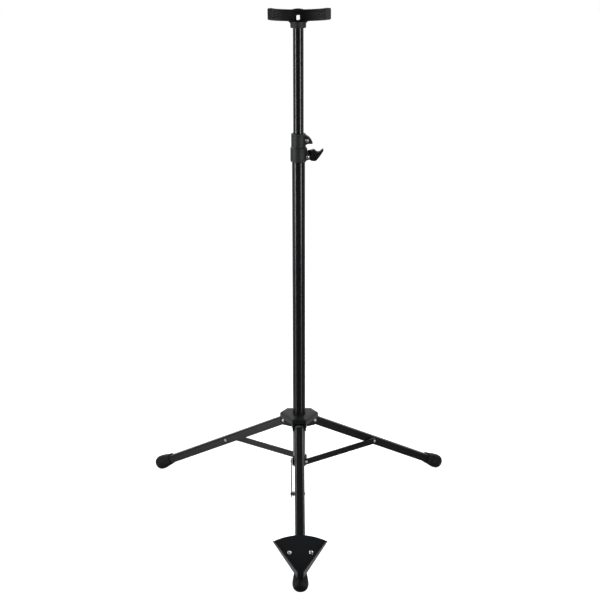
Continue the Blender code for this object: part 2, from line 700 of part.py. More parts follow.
def knob_shape(radius, height):
    """A three-lobed knob along +Z, standing on z = 0, with one lobe towards +Y."""
    outline = []
    steps = 30
    for step in range(steps):
        angle = math.tau * step / steps
        reach = radius * (0.84 + 0.16 * math.cos(3.0 * (angle - math.pi / 2.0)))
        outline.append((reach * math.cos(angle), reach * math.sin(angle)))
    shape = prism(outline, 0.0, height)
    edges = [edge for edge in shape.edges if all(v.co.z > height - 1e-6 for v in edge.verts)]
    bmesh.ops.bevel(shape, geom=edges, offset=0.0012, segments=2, affect="EDGES")
    return shape


def add_collar(plastic):
    shape = turned(
        [
            (LOWER_TUBE_RADIUS + GAP, COLLAR_BOTTOM),
            (COLLAR_RADIUS - 0.0015, COLLAR_BOTTOM),
            (COLLAR_RADIUS, COLLAR_BOTTOM + 0.0015),
            (COLLAR_RADIUS, COLLAR_TOP - 0.0010),
            (COLLAR_RADIUS - 0.0010, COLLAR_TOP),
            (LOWER_TUBE_RADIUS + GAP, COLLAR_TOP),
        ],
        ROUND,
    )
    for degrees in LEG_DIRECTIONS.values():
        flat = block((-0.04, -0.04, COLLAR_BOTTOM - 0.01), (0.04, -COLLAR_FLAT, COLLAR_TOP + 0.01))
        shape = cut(shape, directed(flat, degrees))
    add_object("lower_collar", shape, plastic)


# ---------------------------------------------------------------- legs


def leg_frame(degrees, sloped=True):
    """Location and rotation of a leg's own frame: +X outwards, +Z up, origin on its pivot."""
    azimuth = math.radians(degrees)
    reach = HUB_PIVOT_REACH
    location = (reach * math.cos(azimuth), reach * math.sin(azimuth), HUB_PIVOT_HEIGHT)
    return location, (0.0, LEG_SLOPE if sloped else 0.0, azimuth)


def leg_shape(with_pin_hole):
    half_height = LEG_HEIGHT / 2.0
    half_width = LEG_WIDTH / 2.0
    nose = arc((0.0, 0.0), half_height, 90.0, 270.0, 10)
    outline = nose + [(LEG_LENGTH, -half_height), (LEG_LENGTH, half_height)]
    shape = upright_prism(outline, -half_width, half_width)
    inner = half_width - LEG_WALL
    shape = cut(
        shape,
        block((-0.02, -inner, -0.02), (LEG_LENGTH + 0.02, inner, half_height - LEG_WALL)),
        block((-0.02, -inner, -0.02), (LEG_WEB_START, inner, 0.02)),
        along_y(cylinder(HUB_RIVET_RADIUS + GAP, -0.02, 0.02)),
        along_y(cylinder(RIVET_RADIUS + GAP, -0.02, 0.02), BRACE_REACH),
    )
    if with_pin_hole:
        shape = cut(shape, along_y(cylinder(RIVET_RADIUS + GAP, -0.02, 0.02), TRAY_PIN_REACH))
    return shape


def boot_shape():
    """A rubber boot: a squarish mouth over the channel, swelling to a round bulb."""
    bulb = BOOT_BULB_RADIUS
    end = BOOT_BULB_REACH + bulb
    sections = [
        (BOOT_MOUTH_REACH, BOOT_NECK_HALF_WIDTH - 0.0004, BOOT_NECK_HALF_HEIGHT - 0.0004, 4.5),
        (BOOT_MOUTH_REACH + 0.0010, BOOT_NECK_HALF_WIDTH, BOOT_NECK_HALF_HEIGHT, 4.5),
        (BOOT_MOUTH_REACH + 0.0080, BOOT_NECK_HALF_WIDTH + 0.0002, BOOT_NECK_HALF_HEIGHT + 0.0003, 4.0),
        (BOOT_MOUTH_REACH + 0.0150, BOOT_NECK_HALF_WIDTH + 0.0013, BOOT_NECK_HALF_HEIGHT + 0.0019, 3.0),
        (BOOT_MOUTH_REACH + 0.0225, bulb - 0.0007, bulb - 0.0009, 2.3),
        (BOOT_BULB_REACH, bulb, bulb, 2.0),
    ]
    for degrees in (22.5, 42.0, 57.0, 70.0, 81.0):
        along = math.sin(math.radians(degrees)) ** (2.0 / BOOT_END_POWER)
        radius = bulb * math.cos(math.radians(degrees)) ** (2.0 / BOOT_END_POWER)
        sections.append((BOOT_BULB_REACH + bulb * along, radius, radius, 2.0))
    shape = bmesh.new()
    rings = []
    for reach, half_width, half_height, power in sections:
        ring = []
        for step in range(SMALL_ROUND):
            angle = math.tau * step / SMALL_ROUND
            y = math.copysign(abs(math.cos(angle)) ** (2.0 / power), math.cos(angle)) * half_width
            z = math.copysign(abs(math.sin(angle)) ** (2.0 / power), math.sin(angle)) * half_height
            ring.append(shape.verts.new((reach, y, z)))
        rings.append(ring)
    for ring, following in zip(rings, rings[1:]):
        for step in range(SMALL_ROUND):
            after = (step + 1) % SMALL_ROUND
            shape.faces.new((ring[step], ring[after], following[after], following[step]))
    shape.faces.new(rings[0])
    tip = shape.verts.new((end, 0.0, 0.0))
    for step in range(SMALL_ROUND):
        shape.faces.new((rings[-1][step], rings[-1][(step + 1) % SMALL_ROUND], tip))
    pocket_width = LEG_WIDTH / 2.0 + GAP
    pocket_height = LEG_HEIGHT / 2.0 + GAP
    pocket = block((0.30, -pocket_width, -pocket_height), (LEG_LENGTH + GAP, pocket_width, pocket_height))
    # The floor, seen from the leg's frame, is a plane that rises against the leg's slope.
    floor_height = -BOOT_BULB_RADIUS + SOLE_CUT
    floor = block((-0.05, -0.05, -0.05), (0.05, 0.05, floor_height))
    level = Matrix.Translation((BOOT_BULB_REACH, 0.0, 0.0)) @ Matrix.Rotation(-LEG_SLOPE, 4, "Y")
    return cut(shape, pocket, moved(floor, level))


def add_leg_parts(name, holder, meshes, materials):
    wall = LEG_WIDTH / 2.0
    brace_inner = BRACE_OFFSET - BRACE_THICKNESS / 2.0
    brace_outer = BRACE_OFFSET + BRACE_THICKNESS / 2.0
    steel, rubber, bright_steel = materials
    add_object(f"leg_{name}", leg_shape(name == "front"), steel, holder)
    if not meshes:
        spacer = tube(RIVET_RADIUS + GAP, 0.0042, GAP - brace_inner, -wall - GAP, SMALL_ROUND)
        through = rivet(RIVET_RADIUS, RIVET_HEAD_RADIUS, -brace_outer - GAP, wall + GAP)
        shapes = {
            "boot": (boot_shape(), rubber),
            "brace_spacer": (along_y(spacer, BRACE_REACH), bright_steel),
            "brace_rivet": (along_y(through, BRACE_REACH), bright_steel),
        }
        for piece, (shape, material) in shapes.items():
            meshes[piece] = add_object(f"{piece}_{name}", shape, material, holder).data
        return
    for piece, mesh in meshes.items():
        add_copy(f"{piece}_{name}", mesh, holder)


def brace_frame():
    """Length of a brace between its pivots, and its turn about the leg frame's Y axis."""
    leg_reach = HUB_PIVOT_REACH + BRACE_REACH * math.cos(LEG_SLOPE)
    leg_height = HUB_PIVOT_HEIGHT - BRACE_REACH * math.sin(LEG_SLOPE)
    across = COLLAR_PIVOT_REACH - leg_reach
    down = COLLAR_PIVOT_HEIGHT - leg_height
    return math.hypot(across, down), -math.atan2(down, across) - LEG_SLOPE


def brace_shape(length):
    radius = BRACE_WIDTH / 2.0
    half = BRACE_THICKNESS / 2.0
    outline = arc((0.0, 0.0), radius, 90.0, 270.0, 8) + arc((length, 0.0), radius, -90.0, 90.0, 8)
    shape = upright_prism(outline, -half, half)
    return cut(
        shape,
        along_y(cylinder(RIVET_RADIUS + GAP, -0.01, 0.01)),
        along_y(cylinder(RIVET_RADIUS + GAP, -0.01, 0.01), length),
    )


def collar_rivet_shape(length):
    """Headed on the outside only, and flush with the brace on the side that faces the collar."""
    half = BRACE_THICKNESS / 2.0
    start = -half - GAP
    profile = [
        (0.0, start - RIVET_HEAD_HEIGHT),
        (RIVET_HEAD_RADIUS * 0.5, start - RIVET_HEAD_HEIGHT * 0.9),
        (RIVET_HEAD_RADIUS * 0.86, start - RIVET_HEAD_HEIGHT * 0.55),
        (RIVET_HEAD_RADIUS, start),
        (RIVET_RADIUS, start),
        (RIVET_RADIUS, half),
        (0.0, half),
    ]
    return along_y(turned(profile, SMALL_ROUND), length)


def add_tripod(steel, rubber, bright_steel):
    meshes = {}
    length, turn = brace_frame()
    brace_meshes = {}
    holders = {}
    for name, degrees in LEG_DIRECTIONS.items():
        holder = add_empty(f"leg_pivot_{name}", *leg_frame(degrees))
        holders[name] = holder
        add_leg_parts(name, holder, meshes, (steel, rubber, bright_steel))
        pivot = add_empty(f"brace_pivot_{name}", (BRACE_REACH, -BRACE_OFFSET, 0.0), (0.0, turn, 0.0), holder)
        if not brace_meshes:
            brace_meshes["brace"] = add_object(f"brace_{name}", brace_shape(length), steel, pivot).data
            shape = collar_rivet_shape(length)
            brace_meshes["rivet"] = add_object(f"collar_rivet_{name}", shape, bright_steel, pivot).data
        else:
            add_copy(f"brace_{name}", brace_meshes["brace"], pivot)
            add_copy(f"collar_rivet_{name}", brace_meshes["rivet"], pivot)
    return holders


# ---------------------------------------------------------------- instrument tray


def tray_outline(inset=0.0):
    """The sector with its point cut off, in leg coordinates (along, across)."""
    tip = TRAY_TIP_REACH - inset / math.sin(TRAY_HALF_ANGLE)
    radius = TRAY_RADIUS - inset / math.sin(TRAY_HALF_ANGLE)
    points = []
    steps = 16
    for step in range(steps + 1):
        angle = -TRAY_HALF_ANGLE + 2.0 * TRAY_HALF_ANGLE * step / steps
        points.append((tip - radius * math.cos(angle), radius * math.sin(angle)))
    end = TRAY_TIP_REACH - TRAY_TIP_CUT
    half = (tip - end) * math.tan(TRAY_HALF_ANGLE)
    return points + [(end, half), (end, -half)]


def tray_wall(side):
    """One side wall: it stands on the sector's straight edge and rises towards the point."""
    sine, cosine = math.sin(TRAY_HALF_ANGLE), math.cos(TRAY_HALF_ANGLE)
    floor = TRAY_FLOOR_BOTTOM
    top = TRAY_FLOOR_BOTTOM + TRAY_FLOOR_THICKNESS
    shape = bmesh.new()
    rings = []
    near = TRAY_TIP_CUT / cosine
    heights = [
        (TRAY_RADIUS, TRAY_WALL_LOW * 0.35),
        (TRAY_RADIUS - 0.004, TRAY_WALL_LOW),
        (near, TRAY_WALL_HIGH),
    ]
    for distance, height in heights:
        along = TRAY_TIP_REACH - distance * cosine
        across = side * distance * sine
        inner = across - side * TRAY_WALL
        rings.append(
            [
                shape.verts.new((along, across, floor)),
                shape.verts.new((along, inner, floor)),
                shape.verts.new((along, inner, top + height)),
                shape.verts.new((along, across, top + height)),
            ]
        )
    for ring, following in zip(rings, rings[1:]):
        for index in range(4):
            after = (index + 1) % 4
            shape.faces.new((ring[index], ring[after], following[after], following[index]))
    shape.faces.new(rings[0])
    shape.faces.new(list(reversed(rings[-1])))
    bmesh.ops.recalc_face_normals(shape, faces=shape.faces)
    return shape


def add_tray(holder, plastic, bright_steel):
    floor_top = TRAY_FLOOR_BOTTOM + TRAY_FLOOR_THICKNESS
    floor = prism(tray_outline(), TRAY_FLOOR_BOTTOM, floor_top)
    shape = joined(floor, tray_wall(-1.0), tray_wall(1.0))
    for side in (-1.0, 1.0):
        hole = cylinder(RIVET_RADIUS + GAP, 0.0, 0.03)
        recess = cylinder(TRAY_RECESS_RADIUS, floor_top - TRAY_RECESS_DEPTH, 0.03)
        place = Matrix.Translation((TRAY_SCREW_REACH, side * TRAY_SCREW_SPREAD, 0.0))
        shape = cut(shape, moved(hole, place), moved(recess, place))
    add_object("instrument_tray", shape, plastic, holder)

    mount_top = TRAY_FLOOR_BOTTOM - GAP
    leg_top = LEG_HEIGHT / 2.0 + GAP
    leg_side = LEG_WIDTH / 2.0 + GAP
    cheek = leg_side + TRAY_SADDLE_WALL
    seat = block((*TRAY_SEAT_LOW, leg_top), (*TRAY_SEAT_HIGH, mount_top))
    saddle = block((TRAY_SADDLE_START, -cheek, TRAY_SADDLE_BOTTOM), (TRAY_SADDLE_END, cheek, mount_top))
    channel = block((0.20, -leg_side, -0.02), (0.40, leg_side, leg_top))
    mount = cut(joined(seat, saddle), channel)
    mount = cut(mount, along_y(cylinder(RIVET_RADIUS + GAP, -0.03, 0.03), TRAY_PIN_REACH))
    for side in (-1.0, 1.0):
        hole = cylinder(0.0018, 0.0, 0.03)
        place = Matrix.Translation((TRAY_SCREW_REACH, side * TRAY_SCREW_SPREAD, 0.0))
        mount = cut(mount, moved(hole, place))
    add_object("tray_mount", mount, plastic, holder)

    span = cheek + GAP
    pin = along_y(rivet(RIVET_RADIUS, RIVET_HEAD_RADIUS, -span, span), TRAY_PIN_REACH)
    add_object("tray_mount_pin", pin, bright_steel, holder)

    mesh = None
    for name, side in (("left", -1.0), ("right", 1.0)):
        place = (TRAY_SCREW_REACH, side * TRAY_SCREW_SPREAD, floor_top - TRAY_RECESS_DEPTH + GAP)
        if mesh is None:
            head = screw(0.0015, 0.0039, 0.0020, 0.0080)
            head = cut(head, cross_recess(0.0052, 0.0011, 0.0020))
            obj = add_object(f"tray_screw_{name}", head, bright_steel, holder)
            mesh = obj.data
        else:
            obj = add_copy(f"tray_screw_{name}", mesh, holder)
        obj.location = place


# ---------------------------------------------------------------- the whole stand


def main():
    clear_scene()
    add_empty(MAST_AXIS, (0.0, MAST_Y, 0.0))
    mast_paint = make_material("mast_gloss_black", (0.012, 0.012, 0.014), 0.22, 0.2)
    leg_paint = make_material("leg_satin_black", (0.016, 0.016, 0.018), 0.40, 0.1)
    plastic = make_material("moulded_black_plastic", (0.020, 0.021, 0.023), 0.55)
    lever_plastic = make_material("lever_black_plastic", (0.012, 0.013, 0.014), 0.45)
    tray_plastic = make_material("tray_black", (0.012, 0.014, 0.018), 0.60)
    bush_plastic = make_material("bush_black_nylon", (0.025, 0.025, 0.027), 0.60)
    rubber = make_material("black_rubber", (0.016, 0.016, 0.017), 0.75)
    zinc = make_material("zinc_plated_steel", (0.62, 0.63, 0.64), 0.30, 1.0)

    add_mast(mast_paint, plastic, bush_plastic)
    add_upper_mast(mast_paint, bush_plastic)
    add_clutch(plastic, lever_plastic, zinc)
    add_yoke(plastic, rubber, zinc)
    add_hub(plastic, zinc, lever_plastic)
    add_collar(plastic)
    holders = add_tripod(leg_paint, rubber, zinc)
    add_tray(holders["front"], tray_plastic, zinc)


main()
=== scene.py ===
"""Looks of a folding floor stand for a tall wind instrument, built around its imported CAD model."""

import json
import math

import bmesh
import bpy
from mathutils import Matrix, Vector

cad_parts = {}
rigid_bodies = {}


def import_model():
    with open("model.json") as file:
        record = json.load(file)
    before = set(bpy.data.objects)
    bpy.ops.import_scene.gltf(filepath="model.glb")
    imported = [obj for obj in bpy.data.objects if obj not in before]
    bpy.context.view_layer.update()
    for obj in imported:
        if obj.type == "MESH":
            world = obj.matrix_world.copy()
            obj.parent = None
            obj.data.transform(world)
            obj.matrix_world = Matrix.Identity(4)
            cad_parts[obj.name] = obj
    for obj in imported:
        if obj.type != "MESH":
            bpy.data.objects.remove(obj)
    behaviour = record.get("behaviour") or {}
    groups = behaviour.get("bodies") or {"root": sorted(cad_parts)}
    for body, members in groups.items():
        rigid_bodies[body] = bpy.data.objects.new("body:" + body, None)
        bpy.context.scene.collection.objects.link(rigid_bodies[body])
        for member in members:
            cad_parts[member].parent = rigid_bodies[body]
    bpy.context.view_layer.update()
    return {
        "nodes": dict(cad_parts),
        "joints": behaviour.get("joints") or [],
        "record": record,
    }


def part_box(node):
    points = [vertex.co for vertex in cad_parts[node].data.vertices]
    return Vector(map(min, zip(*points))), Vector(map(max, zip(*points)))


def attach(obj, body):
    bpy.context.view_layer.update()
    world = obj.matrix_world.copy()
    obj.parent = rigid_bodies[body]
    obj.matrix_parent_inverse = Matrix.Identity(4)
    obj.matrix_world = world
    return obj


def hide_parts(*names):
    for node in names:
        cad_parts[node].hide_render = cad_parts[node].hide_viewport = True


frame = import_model()

NODES = frame["nodes"]
JOINTS = {joint["name"]: joint for joint in frame["joints"]}
BODY_OF = {
    node: body for body, members in frame["record"]["behaviour"]["bodies"].items() for node in members
}
LEGS = ("front", "right", "left")
MAST = Vector(JOINTS["yoke_swivel"]["pos_m"])
MAST.z = 0.0
STOOD_FOR = set()  # the CAD nodes that a finer piece has taken the place of

# Sizes shared with the CAD model, in metres.
GAP = 0.0003
TUBE_WALL = 0.0012
LEG_SECTION = (0.0186, 0.0162)  # width and height
LEG_WALL = 0.0015
LEG_LENGTH = 0.3520
LEG_WEB_START = 0.0090
LEG_SHOULDER = 0.0046  # outer radius of the channel's bends
BRACE_REACH = 0.1620
RIVET_RADIUS = 0.0020
HUB_RIVET_RADIUS = 0.0025
YOKE_OUTER_RADIUS = 0.0586
YOKE_INNER_RADIUS = 0.0526
YOKE_PAD_THICKNESS = 0.0028
YOKE_HALF_ANGLE = math.radians(76.0)
YOKE_LIP_ANGLE = math.radians(3.2)
YOKE_BACK = 0.0040
YOKE_BAND_BOTTOM = 0.9684
YOKE_BAND_TOP = 0.9893
YOKE_TILT = math.radians(8.0)
YOKE_TURN = math.radians(2.6)
YOKE_SLOT_WIDTH = 0.0068
YOKE_SLOT_BOTTOM = 0.9702
YOKE_SLOT_TOP = 0.9796
YOKE_SLOT_CORNER = 0.0016
YOKE_SLOT_REACH = 0.03  # half length of the tool that cuts the slot through the lining
BOOT_NECK = (0.0114, 0.0104)  # half width and half height of the boot's neck
BOOT_END_POWER = 2.5  # 2 would make the boot's end a ball; more makes it blunter

# Sizes of the finer shapes made here.
FINE_ROUND = 96  # segments of a large round piece
OVERCUT = 0.01  # how far a cutting tool stands past the piece
THROUGH = 0.02  # half length of a tool that goes right through a channel or a boot
MERGE = 2e-6  # a CAD mesh's corners closer than this are one corner
CUT_MERGE = 1e-6  # the same, after a cut
ON_AXIS = 1e-7  # a turned profile's radius below this is on the axis
FLAT_ANGLE = 0.6  # degrees; faces that meet flatter than this become one face
FINE_EASE = 0.00025  # edge rounding where EASE doesn't name a piece
SMOOTH_ANGLE = 35.0  # degrees; a sharper turn than this keeps a crisp edge


# ---------------------------------------------------------------- materials


class Tree:
    """A material's node tree, with short calls for what the finishes share."""

    def __init__(self, name):
        self.material = bpy.data.materials.new(name)
        self.material.use_nodes = True
        self.tree = self.material.node_tree
        self.shader = self.tree.nodes["Principled BSDF"]
        self.where = self.add("ShaderNodeTexCoord").outputs["Object"]

    def add(self, kind, **values):
        node = self.tree.nodes.new(kind)
        for name, value in values.items():
            setattr(node, name, value)
        return node

    def link(self, source, target):
        self.tree.links.new(source, target)

    def stretched(self, scale):
        mapping = self.add("ShaderNodeMapping")
        mapping.inputs["Scale"].default_value = scale
        self.link(self.where, mapping.inputs["Vector"])
        return mapping.outputs["Vector"]

    def noise(self, scale, detail=3.0, roughness=0.5, vector=None):
        node = self.add("ShaderNodeTexNoise")
        node.inputs["Scale"].default_value = scale
        node.inputs["Detail"].default_value = detail
        node.inputs["Roughness"].default_value = roughness
        self.link(vector or self.where, node.inputs["Vector"])
        return node.outputs["Fac"]

    def pits(self, scale):
        """Closely packed round pits: the distance to the middle of the nearest one."""
        node = self.add("ShaderNodeTexVoronoi")
        node.inputs["Scale"].default_value = scale
        self.link(self.where, node.inputs["Vector"])
        return node.outputs["Distance"]

    def ramp(self, factor, stops):
        """A colour ramp; each stop is (position, grey) or (position, (r, g, b))."""
        node = self.add("ShaderNodeValToRGB")
        elements = node.color_ramp.elements
        while len(elements) < len(stops):
            elements.new(0.5)
        for element, (position, value) in zip(elements, stops):
            colour = value if isinstance(value, tuple) else (value, value, value)
            element.position = position
            element.color = (*colour, 1.0)
        self.link(factor, node.inputs["Fac"])
        return node.outputs["Color"]

    def mix(self, factor, first, second, blend="MIX"):
        """Mixes two colours; they are the Mix node's sockets 6 and 7, and its output 2."""
        node = self.add("ShaderNodeMix", data_type="RGBA", blend_type=blend)
        for socket, value in ((node.inputs[0], factor), (node.inputs[6], first), (node.inputs[7], second)):
            if isinstance(value, bpy.types.NodeSocket):
                self.link(value, socket)
            elif isinstance(value, tuple):
                socket.default_value = (*value, 1.0)
            else:
                socket.default_value = value
        return node.outputs[2]

    def bump(self, height, strength, distance):
        node = self.add("ShaderNodeBump")
        node.inputs["Strength"].default_value = strength
        node.inputs["Distance"].default_value = distance
        self.link(height, node.inputs["Height"])
        return node.outputs["Normal"]

    def edges(self, radius):
        """How sharply the surface turns here: 0 on a flat, towards 1 on an edge."""
        bevel = self.add("ShaderNodeBevel", samples=4)
        bevel.inputs["Radius"].default_value = radius
        geometry = self.add("ShaderNodeNewGeometry")
        dot = self.add("ShaderNodeVectorMath", operation="DOT_PRODUCT")
        self.link(bevel.outputs["Normal"], dot.inputs[0])
        self.link(geometry.outputs["Normal"], dot.inputs[1])
        turn = self.add("ShaderNodeMath", operation="SUBTRACT", use_clamp=True)
        turn.inputs[0].default_value = 1.0
        self.link(dot.outputs["Value"], turn.inputs[1])
        return turn.outputs["Value"]

    def set(self, **values):
        names = {name.lower().replace(" ", "_"): name for name in self.shader.inputs.keys()}
        for key, value in values.items():
            socket = self.shader.inputs[names[key]]
            if isinstance(value, bpy.types.NodeSocket):
                self.link(value, socket)
            elif isinstance(value, tuple):
                socket.default_value = (*value, 1.0)
            else:
                socket.default_value = value


WORN_PAINT = (0.035, 0.035, 0.037)
WORN_PLASTIC = (0.05, 0.052, 0.055)


def painted_steel(name, dark, light, rough, peel, specular):
    """Black paint: faint mottling, a shallow orange peel and lightly rubbed edges."""
    t = Tree(name)
    mottle = t.noise(90.0, 4.0)
    rubbed = t.ramp(t.edges(0.0005), [(0.05, 0.0), (0.35, 1.0)])
    scuffs = t.ramp(t.noise(700.0, 2.0), [(0.55, 0.0), (0.75, 1.0)])
    wear = t.mix(1.0, rubbed, scuffs, "MULTIPLY")
    base = t.mix(mottle, dark, light)
    t.set(
        base_color=t.mix(wear, base, WORN_PAINT),
        roughness=t.ramp(t.noise(160.0, 3.0), [(0.3, rough - 0.03), (0.7, rough + 0.04)]),
        normal=t.bump(t.noise(420.0, 2.0), peel, 0.00004),
        specular_ior_level=specular,
    )
    return t.material


def moulded(name, dark, light, rough, grain, grain_scale=2600.0, specular=0.5):
    """Moulded plastic or rubber: spark-eroded grain, slight colour drift and paler edges."""
    t = Tree(name)
    pits = t.pits(grain_scale)
    drift = t.noise(60.0, 3.0)
    rubbed = t.ramp(t.edges(0.0006), [(0.04, 0.0), (0.4, 1.0)])
    scuffs = t.ramp(t.noise(420.0, 3.0), [(0.45, 0.0), (0.7, 1.0)])
    wear = t.mix(1.0, rubbed, scuffs, "MULTIPLY")
    base = t.mix(drift, dark, light)
    speck = t.ramp(pits, [(0.1, 0.0), (0.55, 0.35)])
    base = t.mix(speck, base, light)
    t.set(
        base_color=t.mix(wear, base, WORN_PLASTIC),
        roughness=t.ramp(t.noise(300.0, 2.0), [(0.3, rough - 0.05), (0.7, rough + 0.06)]),
        normal=t.bump(pits, grain, 0.00006),
        specular_ior_level=specular,
    )
    return t.material


def zinc(name, dark, light, rough):
    """Zinc plated steel: cloudy grey metal with fine scratches."""
    t = Tree(name)
    cloud = t.noise(500.0, 4.0)
    scratches = t.noise(900.0, 2.0, vector=t.stretched((1.0, 1.0, 14.0)))
    t.set(
        base_color=t.mix(cloud, (dark, dark * 1.02, dark * 1.05), (light, light * 1.01, light * 1.04)),
        metallic=0.8,
        roughness=t.ramp(scratches, [(0.3, rough - 0.08), (0.7, rough + 0.10)]),
        normal=t.bump(scratches, 0.15, 0.00003),
    )
    return t.material


FINISH = {
    "mast_paint": painted_steel(
        "mast_gloss_paint",
        dark=(0.0068, 0.0068, 0.0085),
        light=(0.0088, 0.0088, 0.0108),
        rough=0.21,
        peel=0.0015,
        specular=0.5,
    ),
    "leg_paint": painted_steel(
        "leg_satin_paint",
        dark=(0.0065, 0.0065, 0.0070),
        light=(0.0090, 0.0090, 0.0097),
        rough=0.31,
        peel=0.004,
        specular=0.42,
    ),
    "moulded_plastic": moulded(
        "black_moulding",
        dark=(0.0090, 0.0098, 0.0115),
        light=(0.016, 0.0172, 0.0200),
        rough=0.54,
        grain=0.22,
    ),
    "lever_plastic": moulded(
        "lever_moulding",
        dark=(0.0018, 0.0018, 0.0020),
        light=(0.0035, 0.0035, 0.0038),
        rough=0.50,
        grain=0.16,
        specular=0.25,
    ),
    "tray_plastic": moulded(
        "tray_moulding",
        dark=(0.0026, 0.0036, 0.0052),
        light=(0.0044, 0.0056, 0.0080),
        rough=0.48,
        grain=0.14,
        specular=0.26,
    ),
    "bush_nylon": moulded(
        "bush_nylon_black",
        dark=(0.013, 0.013, 0.014),
        light=(0.020, 0.020, 0.021),
        rough=0.45,
        grain=0.10,
    ),
    "rubber": moulded(
        "black_rubber_matt",
        dark=(0.0040, 0.0040, 0.0043),
        light=(0.0072, 0.0072, 0.0077),
        rough=0.56,
        grain=0.22,
        grain_scale=3200.0,
        specular=0.20,
    ),
    "zinc_steel": zinc("zinc_plate", dark=0.44, light=0.70, rough=0.42),
}
SCREW_FINISH = zinc("bright_zinc_plate", dark=0.62, light=0.88, rough=0.28)
HUB_FINISH = moulded(
    "hub_moulding",
    dark=(0.0034, 0.0040, 0.0052),
    light=(0.0066, 0.0075, 0.0094),
    rough=0.42,
    grain=0.18,
    specular=0.34,
)
SLOT_OF = {part["node"]: part["material_slot"] for part in frame["record"]["subparts"]}


# ---------------------------------------------------------------- mesh helpers


def place(name, shape, node, material=None, smooth=SMOOTH_ANGLE):
    """Makes a piece from a bmesh in world space; it stands for the CAD node and rides on its body."""
    bmesh.ops.recalc_face_normals(shape, faces=shape.faces)
    mesh = bpy.data.meshes.new(name)
    shape.to_mesh(mesh)
    shape.free()
    mesh.shade_smooth()
    mesh.set_sharp_from_angle(angle=math.radians(smooth))
    mesh.materials.append(material or FINISH[SLOT_OF[node]])
    piece = bpy.data.objects.new(name, mesh)
    bpy.context.scene.collection.objects.link(piece)
    weighted = piece.modifiers.new("weighted_normals", "WEIGHTED_NORMAL")
    weighted.keep_sharp = True  # so that a long face is not shaded by the small bevels at its ends
    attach(piece, BODY_OF[node])
    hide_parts(node)
    STOOD_FOR.add(node)
    return piece


def plain(node):
    """The CAD node's own mesh with its facets' doubled corners merged."""
    shape = bmesh.new()
    shape.from_mesh(NODES[node].data)
    bmesh.ops.remove_doubles(shape, verts=shape.verts, dist=MERGE)
    return shape


def loft(rings):
    """A closed body through rings of equal length; a ring of one point closes to a tip."""
    shape = bmesh.new()
    rows = [[shape.verts.new(point) for point in ring] for ring in rings]
    for row, following in zip(rows, rows[1:]):
        count = max(len(row), len(following))
        for step in range(count):
            after = (step + 1) % count
            corners = [row[step % len(row)], row[after % len(row)]]
            corners += [following[after % len(following)], following[step % len(following)]]
            corners = list(dict.fromkeys(corners))
            shape.faces.new(corners)
    for row in (rows[0], rows[-1]):
        if len(row) > 2:
            shape.faces.new(row)
    bmesh.ops.recalc_face_normals(shape, faces=shape.faces)
    return shape


def turned(profile, segments=FINE_ROUND):
    """A body of revolution about +Z; the profile is a closed loop of (radius, height)."""
    shape = bmesh.new()
    rings = []
    for radius, height in profile:
        if radius < ON_AXIS:
            rings.append([shape.verts.new((0.0, 0.0, height))])
            continue
        ring = []
        for step in range(segments):
            angle = math.tau * step / segments
            ring.append(shape.verts.new((radius * math.cos(angle), radius * math.sin(angle), height)))
        rings.append(ring)
    for ring, following in zip(rings, rings[1:] + rings[:1]):
        if len(ring) == 1 and len(following) == 1:
            continue
        for step in range(segments):
            after = (step + 1) % segments
            corners = [ring[step % len(ring)], ring[after % len(ring)]]
            corners += [following[after % len(following)], following[step % len(following)]]
            shape.faces.new(list(dict.fromkeys(corners)))
    bmesh.ops.recalc_face_normals(shape, faces=shape.faces)
    return shape


def rod(radius, half_length, segments):
    """A plain round bar along Z, centred on the origin, to cut with."""
    profile = [(0.0, -half_length), (radius, -half_length), (radius, half_length), (0.0, half_length)]
    return turned(profile, segments)


def moved(shape, matrix):
    bmesh.ops.transform(shape, matrix=matrix, verts=shape.verts)
    return shape


def prism(outline, low, high):
    """A flat outline in (x, z), pushed out along Y from low to high."""
    return loft([[(x, y, z) for x, z in outline] for y in (low, high)])


def block(low, high):
    corners = [(low[0], low[2]), (high[0], low[2]), (high[0], high[2]), (low[0], high[2])]
    return prism(corners, low[1], high[1])


def arc(centre, radius, start, end, steps):
    """Points on a circle from one angle to another, both ends included, in degrees."""
    points = []
    for step in range(steps + 1):
        angle = math.radians(start + (end - start) * step / steps)
        points.append((centre[0] + radius * math.cos(angle), centre[1] + radius * math.sin(angle)))
    return points


def along_y(shape, x=0.0, z=0.0):
    """Lays a body that was built along +Z down along +Y."""
    return moved(shape, Matrix.Translation((x, 0.0, z)) @ Matrix.Rotation(math.radians(-90.0), 4, "X"))


def combined(base, operation, *tools):
    """The exact boolean of a body with its tools, one after the other."""
    scene = bpy.context.scene.collection.objects
    for tool in tools:
        pair = []
        for part in (base, tool):
            mesh = bpy.data.meshes.new("work")
            part.to_mesh(mesh)
            part.free()
            pair.append(bpy.data.objects.new("work", mesh))
            scene.link(pair[-1])
        modifier = pair[0].modifiers.new("work", "BOOLEAN")
        modifier.operation = operation
        modifier.object = pair[1]
        bpy.context.view_layer.update()
        result = pair[0].evaluated_get(bpy.context.evaluated_depsgraph_get()).to_mesh()
        base = bmesh.new()
        base.from_mesh(result)
        bmesh.ops.remove_doubles(base, verts=base.verts, dist=CUT_MERGE)
        for part in pair:
            mesh = part.data
            bpy.data.objects.remove(part)
            bpy.data.meshes.remove(mesh)
    return base


